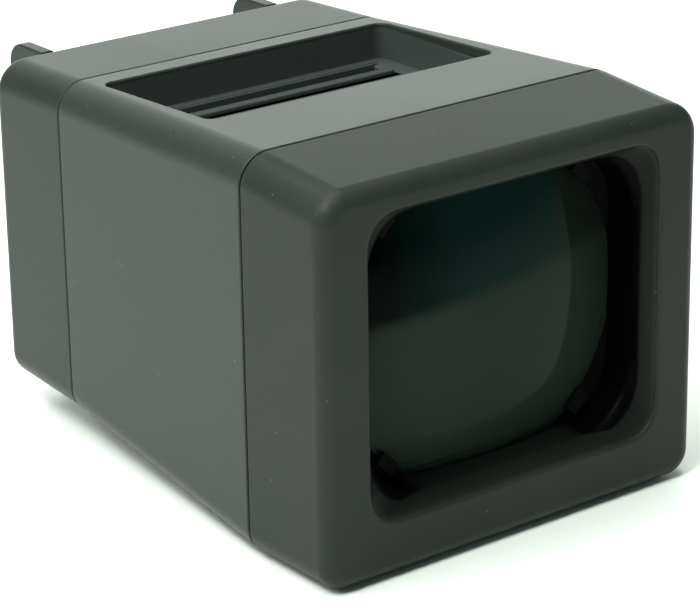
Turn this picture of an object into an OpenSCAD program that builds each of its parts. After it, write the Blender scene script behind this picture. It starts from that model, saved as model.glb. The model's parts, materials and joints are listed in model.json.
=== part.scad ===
// Desktop viewer for mounted 35 mm slides.
// A three-part moulded case holds a magnifying lens behind the front window.
// A slide drops into the slot in the top recess and stands in a sprung carrier.
// Pressing the slide down closes a switch and lights the LED light box behind it.
// X runs to the viewer's right, Y to the rear, Z up. Z = 0 is the table.

/* [Case] */
// Width of the case where the front bezel meets the middle body
case_w = 86; // [84:0.5:90]
// Height of the case at the same seam, without the feet
case_h = 74.3; // [74:0.1:78]
// Depth of the front bezel
bezel_d = 23.1; // [23:0.1:26]
// Depth of the middle body
mid_d = 63.2; // [63:0.1:66]
// Depth of the rear cover, without its fins
rear_d = 24; // [24:0.1:28]
// Width of the case at its front face
front_w = 85.6; // [84:0.1:89]
// How far the top of the bezel falls from the seam to the front face
front_fall = 1.9; // [0:0.1:3]
// Width of the case at the rear seam
mid_end_w = 78.4; // [78:0.1:84]
// Height of the top at the rear seam
mid_end_top = 71.8; // [71:0.1:74]
// Height of the underside at the rear seam
mid_end_bottom = 5.8; // [0:0.1:6]
// Width of the case at its rear face
rear_end_w = 77.4; // [77:0.1:84]
// Height of the top at the rear face
rear_end_top = 71; // [70.5:0.1:74]
// Height of the underside at the rear face
rear_end_bottom = 6.9; // [0:0.1:7]
// Thickness of the moulded walls
wall = 2; // [1.6:0.1:2.2]
// Open joint between bezel and middle body
front_gap = 0.4; // [0.2:0.1:0.6]
// Open joint between middle body and rear cover
rear_gap = 0.2; // [0.1:0.05:0.4]
// Radius of the long upper edges
edge_r = 6; // [4:0.5:7]
// Radius of the long lower edges
low_edge_r = 5; // [3:0.5:6]
// Radius around the front face
front_edge_r = 3.2; // [2:0.1:4]
// Radius around the rear face
rear_edge_r = 3; // [2:0.1:4]

/* [Front window] */
// Width of the window at the front face
window_w = 66.2; // [64:0.1:68]
// Height of the window at the front face
window_h = 56.6; // [55:0.1:58]
// Corner radius of the window at the front face
window_r = 7.5; // [5:0.5:10]
// Height of the window's centre above the bottom of the bezel
window_z = 38.9; // [38:0.1:40]
// Width of the opening at the bottom of the window's bevel
rim_w = 61.4; // [61.4:0.1:62]
// Height of the opening at the bottom of the window's bevel
rim_h = 53; // [53:0.1:54]
// Corner radius of that opening
rim_r = 15; // [12:0.5:16]
// Depth of the window's bevel
bevel_d = 5.2; // [4:0.1:6]

/* [Lens] */
// Diameter of the lens before its sides are cut
lens_d = 63; // [62:0.1:63]
// Width across the cut sides of the lens
lens_w = 61; // [58:0.1:61]
// Height across the cut top and bottom of the lens
lens_h = 52.6; // [50:0.1:52.6]
// Thickness of the lens at its round edge
lens_edge = 2; // [1.8:0.1:2.4]
// Distance from the front face to the lens's edge
lens_depth = 11.2; // [11:0.1:12]
// Radius of curvature of the lens's front surface
lens_front_r = 62; // [60:1:80]
// Radius of curvature of the lens's back surface
lens_back_r = 150; // [120:1:200]

/* [Top recess and slot] */
// Width of the finger recess
recess_w = 65.8; // [62:0.1:67]
// Distance from the front seam to the near wall of the recess
recess_near = 22.7; // [21:0.1:25]
// Distance from the front seam to the far wall of the recess
recess_far = 57.6; // [57:0.1:59]
// Height of the recess floor above the bottom of the bezel
recess_floor = 64.9; // [64:0.1:65.5]
// Length of the slide slot
slot_l = 56; // [55:0.5:57]
// Width of the slide slot
slot_w = 4.8; // [4.6:0.1:5]
// Distance from the front seam to the middle of the slot
slot_at = 51.4; // [51:0.1:51.6]
// Height of the raised lip in front of the slot
slot_lip_h = 0.9; // [0.5:0.1:1.2]

/* [Slide and carrier] */
// Side of a mounted slide
slide_size = 50; // [50, 50.8]
// Thickness of the channel that the slide stands in
channel_t = 4.4; // [4.3:0.1:4.6]
// Travel of the carrier from rest to lit
travel = 5; // [4:0.1:5]
// Side of the window in the slide gate
gate_window = 37; // [36:0.5:39]

/* [Fins and feet] */
// Distance from the middle to each rear fin
fin_x = 26.8; // [26.5:0.1:28]
// Thickness of each rear fin
fin_t = 2.8; // [2.4:0.1:3]
// Reach of the fins behind the rear face
fin_reach = 10.8; // [8:0.1:14]
// Radius of the outer corners of each fin
fin_r = 4.3; // [2:0.1:6]
// How far the feet stand proud of the bezel
foot_proud = 0.5; // [0.3:0.1:1]
// Diameter of the round feet
foot_d = 9; // [7:0.5:10]

/* [Power] */
// Diameter of one battery cell
cell_d = 14.5; // [13.5:0.1:14.5]
// Length of one battery cell with its nub
cell_l = 50.5; // [49.2:0.1:50.5]
// Number of cells
cell_count = 3; // [3]
// Distance between neighbouring cells
cell_pitch = 15.1; // [14.8:0.1:15.2]

/* [Hidden] */
$fn = 48;
eps = 0.01;

// Planes along the depth
total_d = bezel_d + mid_d + rear_d + fin_reach;
front_y = -total_d / 2;
seam1_y = front_y + bezel_d;
seam2_y = seam1_y + mid_d;
rear_y = seam2_y + rear_d;
back_y = rear_y + fin_reach;
base_z = foot_proud;
axis_z = base_z + window_z;

// Lens seat
lens_y = front_y + lens_depth;
lens_fit = 0.15;
seat_in = 1.1;
frame_w = 67.6;
frame_h = 58.8;
frame_t = 4.6;
clip_in = 29.4;
clip_out = 32.8;
clip_w = 4.4;
hook_half = 6;
hook_reach = 0.9;
hook_t = 1.4;

// Slide, slot and carrier
slot_y = seam1_y + slot_at;
floor_z = base_z + recess_floor;
tub_t = 1.6;
recess_r = 2.2;
lip_t = 1.3;
channel_y = slot_y - channel_t / 2;
carrier_y0 = channel_y - lip_t;
carrier_y1 = channel_y + channel_t + lip_t;
carrier_w = 57.6;
channel_w = slide_size + 1;
slide_bottom = axis_z - slide_size / 2 + travel;
bar_t = 2.5;
rail_top = 58;
lead_in_r = 2.9;

// Springs under the carrier
spring_x = 18;
spring_r = 2.3;
spring_wire = 0.25;
spring_pocket = 1.5;
spring_top = slide_bottom - bar_t + spring_pocket;

// Switch under the carrier
bridge_t = 0.4;
switch_h = 1.2;
switch_w = 18;
switch_tail = 4;
contact_gap = 0.02;

// Chassis that holds the gate, the carrier and the light
mask_t = 1.9;
mask_y = carrier_y0 - 0.1 - mask_t;
mask_w = 68.4;
chassis_floor = 10;
floor_t = 1.2;
chassis_top = 61;
cheek_x = carrier_w / 2 + 0.15;
cheek_t = 1.1;
cheek_end = seam1_y + 60;
rail_gap = 0.15;

// Light box
diffuser_y = carrier_y1 + 0.2;
diffuser_t = 1.6;
light_w = 46;
box_y = diffuser_y + diffuser_t + 0.1;
box_d = 8.6;
box_t = 1.2;
board_y = box_y + box_d;
board_t = 1.6;
board_w = 46;
led_size = [3.5, 0.9, 2.8];
led_step = 13;
board_screw_x = board_w / 2 - 3.6;
board_screw_z = axis_z - board_w / 2 + 3.6;
board_post_d = 6;
resistor_size = [3.2, 0.6, 1.6];

// Batteries
bay_clear = 0.15;
cell_y = rear_y - wall - 0.9 - cell_d / 2;
holder_w = cell_pitch * (cell_count - 1) + cell_d + 4.4;
holder_y0 = cell_y - cell_d / 2 - 1.3;
holder_y1 = rear_y - 5.4;
holder_z0 = base_z + rear_end_bottom + wall + 0.6;
holder_wall = 1.4;
contact_t = 0.4;
cell_spring_l = 4.4;
bay_h = cell_l + cell_spring_l + 2 * contact_t;
bay_z0 = holder_z0 + holder_wall;
holder_z1 = bay_z0 + bay_h + holder_wall;
cell_z0 = bay_z0 + contact_t;

// Battery door and its hinge
door_w = 47;
door_gap = 0.3;
door_z0 = holder_z0 + 1.2;
door_z1 = base_z + rear_end_top - 4.6;
pin_r = 1;
pin_fit = 0.05;
knuckle_r = 1.6;
knuckle_gap = 10;
hinge_y = rear_y - knuckle_r;
hinge_z = door_z0 + knuckle_r;
lug_t = 2.6;

// Screws
screw_r = 1.2;
screw_fit = 0.05;
head_r = 2.2;
head_h = 1.5;
boss_r = 3;
front_screw_x = 37.2;
front_screw_z = [base_z + 9.5, base_z + 65.5];
rear_screw_x = 33.2;
rear_screw_z = [base_z + 15, base_z + 63];
tab_t = 2;
rear_head_y = rear_y - 15;
post_l = 15;

// Wires: cell + to the light board, cell - to the switch, switch to the light board
wire_r = 0.6;
red_route = [
    [-20, 30.3, 59], [-24, 30.3, 60], [-27, 30.2, 58], [-27.5, 30, 46], [-26, 30.2, 40], [-20, 30.3, 38]
];
black_route = [
    [25.3, 36, 14], [27, 33, 13.4], [27.3, 28, 13], [25.5, 24, 12.5], [20, 21.6, 12.2], [13, 20.4, 12],
    [6, 20, 11.9]
];
white_route = [
    [-6, 20, 11.9], [-13, 20.4, 12], [-20, 21.6, 12.2], [-25.5, 24.5, 13], [-27.4, 28, 17],
    [-26, 30.2, 24], [-20, 30.3, 27]
];

// Feet
front_foot_x = 31;
front_foot_y = front_y + 11;
foot_sink = 0.7;
rear_foot_x = 18;
rear_foot_y = rear_y - 9.75;
pad_t = 0.8;

// Case width, top and underside at any depth
function case_width(y) = lookup(y, [
    [front_y, front_w], [seam1_y, case_w], [seam2_y, mid_end_w], [rear_y, rear_end_w]
]);
function case_top(y) = base_z + lookup(y, [
    [front_y, case_h - front_fall], [seam1_y, case_h], [seam2_y, mid_end_top], [rear_y, rear_end_top]
]);
function case_bottom(y) = base_z + lookup(y, [
    [front_y, 0], [seam1_y, 0], [seam2_y, mid_end_bottom], [rear_y, rear_end_bottom]
]);

// A section is [y, width, bottom, top, upper corner radius, lower corner radius]
function section_at(y, inset) = [
    y, case_width(y) - 2 * inset, case_bottom(y) + inset, case_top(y) - inset,
    max(edge_r - inset, 0.8), max(low_edge_r - inset, 0.8)
];
function window_at(y, w, h, r) = [y, w, axis_z - h / 2, axis_z + h / 2, r, r];

// Outline of a section as [x, z] points, anticlockwise seen from the front
function corner(x, z, r, start, n) = [
    for (i = [0:n]) [x + r * cos(start + 90 * i / n), z + r * sin(start + 90 * i / n)]
];
function outline(w, z0, z1, rt, rb, n = 7) = concat(
    corner(w / 2 - rb, z0 + rb, rb, -90, n),
    corner(w / 2 - rt, z1 - rt, rt, 0, n),
    corner(rt - w / 2, z1 - rt, rt, 90, n),
    corner(rb - w / 2, z0 + rb, rb, 180, n)
);

// Closed solid through a list of sections
module loft(sections) {
    rings = [for (s = sections) outline(s[1], s[2], s[3], s[4], s[5])];
    n = len(rings[0]);
    last = len(sections) - 1;
    points = [for (k = [0:last]) for (p = rings[k]) [p[0], sections[k][0], p[1]]];
    sides = [
        for (k = [0:last - 1]) for (i = [0:n - 1]) for (half = [0, 1])
            let (j = (i + 1) % n, a = k * n, b = (k + 1) * n)
            half == 0 ? [a + i, a + j, b + j] : [a + i, b + j, b + i]
    ];
    front_cap = [[for (i = [n - 1:-1:0]) i]];
    rear_cap = [[for (i = [0:n - 1]) last * n + i]];
    polyhedron(points, concat(sides, front_cap, rear_cap));
}

// Box from its low corner to its high corner
module block(low, high) {
    translate(low) cube(high - low);
}

// Cylinder along Y from y0 to y1
module rod_y(x, z, r, y0, y1) {
    translate([x, y0, z]) rotate([-90, 0, 0]) cylinder(h = y1 - y0, r = r);
}

// Cylinder along X from x0 to x1
module rod_x(y, z, r, x0, x1) {
    translate([x0, y, z]) rotate([0, 90, 0]) cylinder(h = x1 - x0, r = r);
}

// The same thing on the left and on the right
module both_sides() {
    children();
    mirror([1, 0, 0]) children();
}

// Points of a smooth curve through the given points
function spline(p, steps = 5) = concat(
    [
        for (i = [0:len(p) - 2]) for (k = [0:steps - 1])
            let (
                a = p[max(i - 1, 0)], b = p[i], c = p[i + 1], d = p[min(i + 2, len(p) - 1)],
                t = k / steps
            )
            0.5 * (2 * b + (c - a) * t + (2 * a - 5 * b + 4 * c - d) * t * t
                + (3 * b - a - 3 * c + d) * t * t * t)
    ],
    [p[len(p) - 1]]
);

function unit(v) = v / norm(v);

// Round tube of radius r swept along a list of points
module sweep(path, r, sides = 8) {
    last = len(path) - 1;
    rings = [
        for (k = [0:last])
            let (
                along = unit(path[min(k + 1, last)] - path[max(k - 1, 0)]),
                hint = abs(along[0]) < 0.9 ? [1, 0, 0] : [0, 1, 0],
                u = unit(cross(along, hint)),
                v = cross(along, u)
            )
            [
                for (i = [0:sides - 1])
                    path[k] + r * (cos(360 * i / sides) * u + sin(360 * i / sides) * v)
            ]
    ];
    points = [for (ring = rings) for (p = ring) p];
    walls = [
        for (k = [0:last - 1]) for (i = [0:sides - 1]) for (half = [0, 1])
            let (j = (i + 1) % sides, a = k * sides, b = a + sides)
            half == 0 ? [a + j, a + i, b + i] : [a + j, b + i, b + j]
    ];
    start = [[for (i = [0:sides - 1]) i]];
    end = [[for (i = [sides - 1:-1:0]) last * sides + i]];
    polyhedron(points, concat(walls, start, end));
}

// Helical spring standing on z = 0
module coil_spring(r, wire, height, turns, per_turn = 14) {
    steps = turns * per_turn;
    sweep(
        [
            for (i = [0:steps])
                let (a = 360 * i / per_turn, z = wire + (height - 2 * wire) * i / steps)
                [r * cos(a), r * sin(a), z]
        ],
        wire, 6
    );
}

// Outline shape of the lens, grown by a clearance, as a prism along Y
module lens_prism(radius, grow, y0, y1) {
    intersection() {
        rod_y(0, axis_z, radius, y0, y1);
        block(
            [-lens_w / 2 - grow, y0 - eps, axis_z - lens_h / 2 - grow],
            [lens_w / 2 + grow, y1 + eps, axis_z + lens_h / 2 + grow]
        );
    }
}

// Thin ring just inside the case wall that lines two shells up
module register_ring(seam, side) {
    clear = 0.15;
    thick = 1;
    difference() {
        loft([
            section_at(side > 0 ? seam - 0.3 : seam - 1.8, wall + (side > 0 ? -0.3 : clear)),
            section_at(side > 0 ? seam : seam - 0.05, wall + clear),
            section_at(side > 0 ? seam + 0.05 : seam, wall + clear),
            section_at(side > 0 ? seam + 1.8 : seam + 0.4, wall + (side > 0 ? clear : -0.3))
        ]);
        loft([section_at(seam - 4, wall + clear + thick), section_at(seam + 4, wall + clear + thick)]);
    }
}

module front_bezel() {
    rear_edge = seam1_y - front_gap / 2;
    hood_t = 1.8;
    hook_x = frame_w / 2 + 0.2;
    hook_y = lens_y + frame_t + 0.1;
    color("#3f443f") difference() {
        union() {
            difference() {
                loft(concat(
                    [
                        for (a = [0:18:90])
                            section_at(front_y + front_edge_r * (1 - cos(a)), front_edge_r * (1 - sin(a)))
                    ],
                    [section_at(rear_edge, 0)]
                ));
                difference() {
                    loft([section_at(front_y + wall + 0.6, wall + 1.2),
                        section_at(front_y + wall + 2.6, wall), section_at(seam1_y + 1, wall)]);
                    loft([
                        window_at(front_y, window_w + 2 * hood_t, window_h + 2 * hood_t, window_r + hood_t),
                        window_at(front_y + bevel_d, rim_w + 2 * hood_t, rim_h + 2 * hood_t, rim_r + hood_t),
                        window_at(lens_y, rim_w + 2 * hood_t, rim_h + 2 * hood_t, rim_r + hood_t)
                    ]);
                }
            }
            // Screw posts
            both_sides() for (z = front_screw_z) {
                rod_y(front_screw_x, z, boss_r, front_y + 2, rear_edge);
            }
            // Hooks that hold the lens frame
            both_sides() {
                block([hook_x, front_y + 2, axis_z - hook_half],
                    [hook_x + hook_t, hook_y + 1.2, axis_z + hook_half]);
                block([frame_w / 2 - hook_reach, hook_y, axis_z - hook_half],
                    [hook_x + hook_t, hook_y + 1.2, axis_z + hook_half]);
            }
        }
        loft([
            window_at(front_y - eps, window_w, window_h, window_r),
            window_at(front_y + bevel_d, rim_w, rim_h, rim_r),
            window_at(lens_y + 1, rim_w, rim_h, rim_r)
        ]);
        both_sides() for (z = front_screw_z) {
            rod_y(front_screw_x, z, screw_r + screw_fit, rear_edge - 11, rear_edge + eps);
        }
        both_sides() {
            translate([front_foot_x, front_foot_y, base_z - eps])
                cylinder(h = foot_sink + eps, d = foot_d + 0.2);
        }
    }
}

module middle_body() {
    y0 = seam1_y + front_gap / 2;
    y1 = seam2_y - rear_gap / 2;
    near_y = seam1_y + recess_near;
    far_y = seam1_y + recess_far;
    tub_x = recess_w / 2 + tub_t;
    color("#5c615c") difference() {
        union() {
            difference() {
                loft([section_at(y0, 0), section_at(y1, 0)]);
                loft([section_at(y0 - 1, wall), section_at(y1 + 1, wall)]);
            }
            register_ring(seam1_y, -1);
            register_ring(seam2_y, 1);
            // Tub of the finger recess
            intersection() {
                loft([section_at(y0, 0.5), section_at(y1, 0.5)]);
                block([-tub_x, near_y - tub_t, floor_z - tub_t], [tub_x, far_y + tub_t, floor_z + 20]);
            }
            // Tabs for the bezel screws
            both_sides() for (z = front_screw_z) {
                block([32.5, y0, z - 4.2], [41.4, y0 + tab_t, z + 4.2]);
            }
            // Posts for the case screws, each tied to the side wall
            both_sides() for (z = rear_screw_z) {
                rod_y(rear_screw_x, z, boss_r, y1 - post_l, y1);
                block([rear_screw_x, y1 - post_l, z - 1], [mid_end_w / 2 - 1, y1, z + 1]);
            }
            // Rails that the chassis slides into
            both_sides() for (y = [mask_y - rail_gap - 1.3, mask_y + mask_t + rail_gap]) {
                block([31.9, y, 14], [case_width(y) / 2 - 1, y + 1.3, 60]);
            }
        }
        translate([0, 0, floor_z])
            linear_extrude(20) polygon(outline(recess_w, near_y, far_y, recess_r, recess_r));
        block(
            [-slot_l / 2, slot_y - slot_w / 2, floor_z - 5],
            [slot_l / 2, slot_y + slot_w / 2, floor_z + 5]
        );
        both_sides() for (z = front_screw_z) {
            rod_y(front_screw_x, z, screw_r + screw_fit, y0 - 3, y0 + 5);
            // Room in the register ring for the bezel's screw posts
            rod_y(front_screw_x, z, boss_r + 0.15, y0 - 3, y0);
        }
        both_sides() for (z = rear_screw_z) {
            rod_y(rear_screw_x, z, screw_r + screw_fit, y1 - post_l + 1, y1 + 3);
        }
    }
    // Raised lip in front of the slot
    color("#5c615c") translate([0, 0, floor_z - eps])
        linear_extrude(slot_lip_h + eps)
        polygon(outline(slot_l, slot_y - slot_w / 2 - 2.2, slot_y - slot_w / 2, 0.3, 1.4));
}

module fin() {
    // Upright plate behind the rear face that keeps the door clear when the viewer lies on its back
    low = base_z + rear_end_bottom;
    high = base_z + rear_end_top - 0.1;
    color("#4d524d") translate([fin_x - fin_t / 2, 0, 0]) rotate([90, 0, 90]) linear_extrude(fin_t)
        polygon(concat(
            [[rear_y - 1, low]],
            corner(back_y - fin_r, low + fin_r, fin_r, -90, 8),
            corner(back_y - fin_r, high - fin_r, fin_r, 0, 8),
            [[rear_y - 1, high]]
        ));
}

module rear_cover() {
    y0 = seam2_y + rear_gap / 2;
    color("#4d524d") difference() {
        union() {
            difference() {
                union() {
                    loft(concat(
                        [section_at(y0, 0)],
                        [
                            for (a = [90:-18:0])
                                section_at(rear_y - rear_edge_r * (1 - cos(a)), rear_edge_r * (1 - sin(a)))
                        ]
                    ));
                    both_sides() fin();
                    // Posts that carry the raised rear
                    both_sides() translate([rear_foot_x, rear_foot_y, pad_t])
                        cylinder(h = case_bottom(rear_foot_y) + 1 - pad_t, d = foot_d);
                }
                loft([section_at(y0 - 1, wall), section_at(rear_y - wall, wall)]);
            }
            // Tubes for the case screws
            both_sides() for (z = rear_screw_z) {
                rod_y(rear_screw_x, z, boss_r + 0.8, y0 + 2.4, rear_y - 1);
                block([rear_screw_x, y0 + 2.4, z - 1], [rear_end_w / 2 - 1, rear_y - 1, z + 1]);
            }
            // Lugs for the door's hinge pin
            both_sides() {
                block([door_w / 2 + door_gap, hinge_y - 2.2, hinge_z - 2.6],
                    [door_w / 2 + door_gap + lug_t, rear_y - 1, hinge_z + 2.4]);
            }
        }
        block([-door_w / 2 - door_gap, rear_y - 6, door_z0 - door_gap],
            [door_w / 2 + door_gap, rear_y + 1, door_z1 + door_gap]);
        both_sides() {
            rod_x(hinge_y, hinge_z, pin_r + 0.02, door_w / 2 - 1, door_w / 2 + door_gap + lug_t - 0.6);
            for (z = rear_screw_z) {
                rod_y(rear_screw_x, z, head_r + 0.3, rear_head_y, rear_y + 1);
                rod_y(rear_screw_x, z, screw_r + 0.2, y0 - 1, rear_head_y + 1);
            }
        }
    }
}

// Half section of the lens as [radius, depth] points
function lens_arc(r, steps, from, to) = [
    for (i = [0:steps]) let (a = from + (to - from) * i / steps) [r * sin(a), -r * cos(a)]
];

module lens() {
    front_a = asin(lens_d / 2 / lens_front_r);
    back_a = asin(lens_d / 2 / lens_back_r);
    front_arc = lens_arc(lens_front_r, 16, 0, front_a);
    back_arc = lens_arc(lens_back_r, 10, back_a, 0);
    front_shift = lens_front_r * cos(front_a);
    back_shift = lens_edge - lens_back_r * cos(back_a);
    color("#cfe0dc", 0.4) intersection() {
        translate([0, lens_y, axis_z]) rotate([-90, 0, 0]) rotate_extrude($fn = 144)
            polygon(concat(
                [for (p = front_arc) [p[0], p[1] + front_shift]],
                [for (p = back_arc) [p[0], back_shift - p[1]]]
            ));
        block(
            [-lens_w / 2, lens_y - 20, axis_z - lens_h / 2],
            [lens_w / 2, lens_y + 20, axis_z + lens_h / 2]
        );
    }
}

module lens_frame() {
    plate_y1 = lens_y + frame_t;
    color("#1d201e") difference() {
        union() {
            block([-frame_w / 2, lens_y + 0.1, axis_z - frame_h / 2],
                [frame_w / 2, plate_y1, axis_z + frame_h / 2]);
            // Clips over the round corners of the lens
            for (a = [-45, 45, 135, 225]) {
                translate([0, 0, axis_z]) rotate([0, a, 0])
                    block([clip_in, lens_y - 1.9, -clip_w / 2], [clip_out, lens_y + 1, clip_w / 2]);
            }
        }
        lens_prism(lens_d / 2 + lens_fit, lens_fit, lens_y - 0.75, lens_y + lens_edge + 0.35);
        lens_prism(lens_d / 2 - seat_in, lens_fit, lens_y - 5, plate_y1 + 1);
    }
}

module light_tunnel() {
    y0 = lens_y + frame_t + 0.2;
    y1 = mask_y - 0.1;
    t = 1.2;
    far_half = gate_window / 2 + 1.5;
    color("#141614") difference() {
        loft([
            [y0, 62, axis_z - 27, axis_z + 27, 8, 8],
            [y1, 2 * (far_half + t), axis_z - far_half - t, axis_z + far_half + t, 1.2, 1.2]
        ]);
        loft([
            [y0 - eps, 62 - 2 * t, axis_z - 27 + t, axis_z + 27 - t, 7, 7],
            [y1 + eps, 2 * far_half, axis_z - far_half, axis_z + far_half, 1, 1]
        ]);
    }
}

module chassis() {
    wall_z1 = axis_z + light_w / 2;
    wall_z0 = axis_z - light_w / 2;
    hold_x = light_w / 2 + 0.1;
    color("#202320") difference() {
        union() {
            // Slide gate
            difference() {
                block([-mask_w / 2, mask_y, chassis_floor], [mask_w / 2, mask_y + mask_t, chassis_top]);
                block([-gate_window / 2, mask_y - 1, axis_z - gate_window / 2],
                    [gate_window / 2, mask_y + mask_t + 1, axis_z + gate_window / 2]);
            }
            // Floor under the carrier
            block(
                [-cheek_x - cheek_t, mask_y, chassis_floor - floor_t],
                [cheek_x + cheek_t, cheek_end, chassis_floor]
            );
            // Cheeks that guide the carrier, and rails that hold the light box
            both_sides() {
                block(
                    [cheek_x, mask_y, chassis_floor - floor_t],
                    [cheek_x + cheek_t, cheek_end, chassis_top]
                );
                block(
                    [hold_x, diffuser_y, chassis_floor - floor_t],
                    [cheek_x + 0.5, diffuser_y + diffuser_t + 0.2, chassis_top]
                );
            }
            // Pins that centre the springs
            both_sides() translate([spring_x, slot_y, chassis_floor - eps]) cylinder(h = 1.6, r = 1.3);
        }
    }
}

module slide_carrier() {
    color("#2a2d2a") difference() {
        union() {
            block(
                [-carrier_w / 2, carrier_y0, slide_bottom - bar_t],
                [carrier_w / 2, carrier_y1, slide_bottom]
            );
            both_sides() {
                block([channel_w / 2 - 1.1, carrier_y0, slide_bottom - bar_t],
                    [carrier_w / 2, carrier_y1, rail_top]);
            }
        }
        block(
            [-channel_w / 2, channel_y, slide_bottom],
            [channel_w / 2, channel_y + channel_t, rail_top + 1]
        );
        // Lead-in at the top of the channel
        both_sides() translate([channel_w / 2 - 1.2, slot_y, rail_top]) rotate([0, 90, 0])
            cylinder(h = 5, r = lead_in_r, $fn = 4);
        both_sides() translate([spring_x, slot_y, slide_bottom - bar_t - eps])
            cylinder(h = spring_pocket + eps, r = spring_r + spring_wire + 0.25);
    }
}

module contact_bridge() {
    z = slide_bottom - bar_t;
    color("#c9a24a") block([-6, slot_y - 2, z - bridge_t], [6, slot_y + 2, z]);
}

module carrier_spring() {
    color("#b8bab8") translate([spring_x, slot_y, chassis_floor])
        coil_spring(spring_r, spring_wire, spring_top - chassis_floor - 0.02, 5);
}

module switch_base() {
    color("#6b4a2c") block(
        [-switch_w / 2, carrier_y0, chassis_floor],
        [switch_w / 2, carrier_y1 + switch_tail, chassis_floor + switch_h]
    );
}

module switch_contacts() {
    // Bowed leaves whose tips meet the bridge at the bottom of the carrier's travel
    tip_z = slide_bottom - bar_t - bridge_t - travel - contact_gap;
    leaf_z = chassis_floor + switch_h;
    both_sides() color("#c9a24a") translate([0, slot_y + 1.5, 0]) rotate([90, 0, 0]) linear_extrude(3)
        polygon([
            [3, leaf_z], [8.4, leaf_z], [8.4, leaf_z + 0.3], [6.6, leaf_z + 0.3],
            [5.2, tip_z], [3.6, tip_z], [3, tip_z - 0.25]
        ]);
}

module diffuser() {
    half = light_w / 2;
    color("#f2f2ec", 0.8)
        block([-half, diffuser_y, axis_z - half], [half, diffuser_y + diffuser_t, axis_z + half]);
}

module light_box() {
    half = light_w / 2;
    color("#f4f4f0") difference() {
        union() {
            difference() {
                block([-half, box_y, axis_z - half], [half, box_y + box_d, axis_z + half]);
                block([-half + box_t, box_y - 1, axis_z - half + box_t],
                    [half - box_t, box_y + box_d + 1, axis_z + half - box_t]);
            }
            both_sides()
                rod_y(board_screw_x, board_screw_z, 2.6, board_y - board_post_d, board_y);
        }
        both_sides()
            rod_y(board_screw_x, board_screw_z, 1.05, board_y - board_post_d + 1, board_y + 1);
    }
}

module led_board() {
    half = board_w / 2;
    color("#1f6b3c") difference() {
        block([-half, board_y, axis_z - half], [half, board_y + board_t, axis_z + half]);
        both_sides() rod_y(board_screw_x, board_screw_z, 1.15, board_y - 1, board_y + board_t + 1);
    }
}

module leds() {
    for (x = [-led_step, 0, led_step]) for (z = [-led_step, 0, led_step]) {
        color("#ffe9a0") translate([x, board_y - led_size[1] / 2, axis_z + z]) cube(led_size, center = true);
    }
}

module resistors() {
    for (x = [-6, 0, 6]) {
        color("#1a1a1a") translate([x, board_y + board_t + resistor_size[1] / 2, board_screw_z])
            cube(resistor_size, center = true);
    }
}

module battery_holder() {
    half = holder_w / 2;
    inner = half - holder_wall;
    color("#262926") difference() {
        block([-half, holder_y0, holder_z0], [half, holder_y1, holder_z1]);
        for (i = [0:cell_count - 1]) {
            translate([cell_x(i), cell_y, bay_z0]) cylinder(h = bay_h, r = cell_d / 2 + bay_clear);
        }
        block([-inner, cell_y, bay_z0], [inner, holder_y1 + 1, bay_z0 + bay_h]);
    }
}

function cell_x(i) = (i - (cell_count - 1) / 2) * cell_pitch;

// Cells alternate end for end, so that the bridges join them in series
function nub_up(i) = i % 2 == 0;

module cell(i) {
    nub_h = 1.2;
    can_l = cell_l - nub_h;
    z = nub_up(i) ? cell_z0 + cell_spring_l : cell_z0;
    translate([cell_x(i), cell_y, z + cell_l / 2]) mirror([0, 0, nub_up(i) ? 0 : 1])
        translate([0, 0, -cell_l / 2]) {
            color("#2f5f8f") cylinder(h = can_l, d = cell_d);
            color("#c8c8c8") cylinder(h = cell_l, d = 5.4);
        }
}

module battery_1() {
    cell(0);
}

module battery_2() {
    cell(1);
}

module battery_3() {
    cell(2);
}

// Contact pads of cells first to last at the given height, with the strip that joins them
module contact_plate(first, last, z) {
    pad = 5;
    color("#c4c6c4") {
        for (i = [first:last]) {
            block([cell_x(i) - pad, cell_y - pad, z], [cell_x(i) + pad, cell_y + pad, z + contact_t]);
        }
        if (last > first) {
            block([cell_x(first), cell_y + 0.3, z], [cell_x(last), cell_y + pad, z + contact_t]);
        }
    }
}

module battery_contacts() {
    low = bay_z0;
    high = bay_z0 + bay_h - contact_t;
    contact_plate(0, 0, high);
    contact_plate(0, 1, low);
    contact_plate(1, 2, high);
    contact_plate(2, 2, low);
}

module battery_springs() {
    for (i = [0:cell_count - 1]) {
        z = nub_up(i) ? cell_z0 : cell_z0 + cell_l;
        color("#c4c6c4") translate([cell_x(i), cell_y, z]) coil_spring(3.6, 0.35, cell_spring_l, 4);
    }
}

module battery_door() {
    grip_r = 9;
    color("#4d524d") difference() {
        union() {
            block([-door_w / 2, rear_y - wall, hinge_z], [door_w / 2, rear_y, door_z1]);
            // Two hinge barrels, with room for the middle cell between them
            both_sides() rod_x(hinge_y, hinge_z, knuckle_r, knuckle_gap / 2, door_w / 2);
            // Ribs that press on the cells
            for (i = [0:cell_count - 1]) {
                block(
                    [cell_x(i) - 0.6, rear_y - wall - 0.6, hinge_z + 6],
                    [cell_x(i) + 0.6, rear_y - 1, door_z1 - 8]
                );
            }
        }
        rod_x(hinge_y, hinge_z, pin_r + pin_fit, -door_w, door_w);
        // Thumb scoop at the top edge
        translate([0, rear_y + grip_r - 0.9, door_z1 - 5]) rotate([0, 90, 0])
            cylinder(h = 16, r = grip_r, center = true, $fn = 96);
    }
}

module door_hinge_pin() {
    end = door_w / 2 + door_gap + lug_t - 0.7;
    color("#b8bab8") rod_x(hinge_y, hinge_z, pin_r, -end, end);
}

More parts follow.
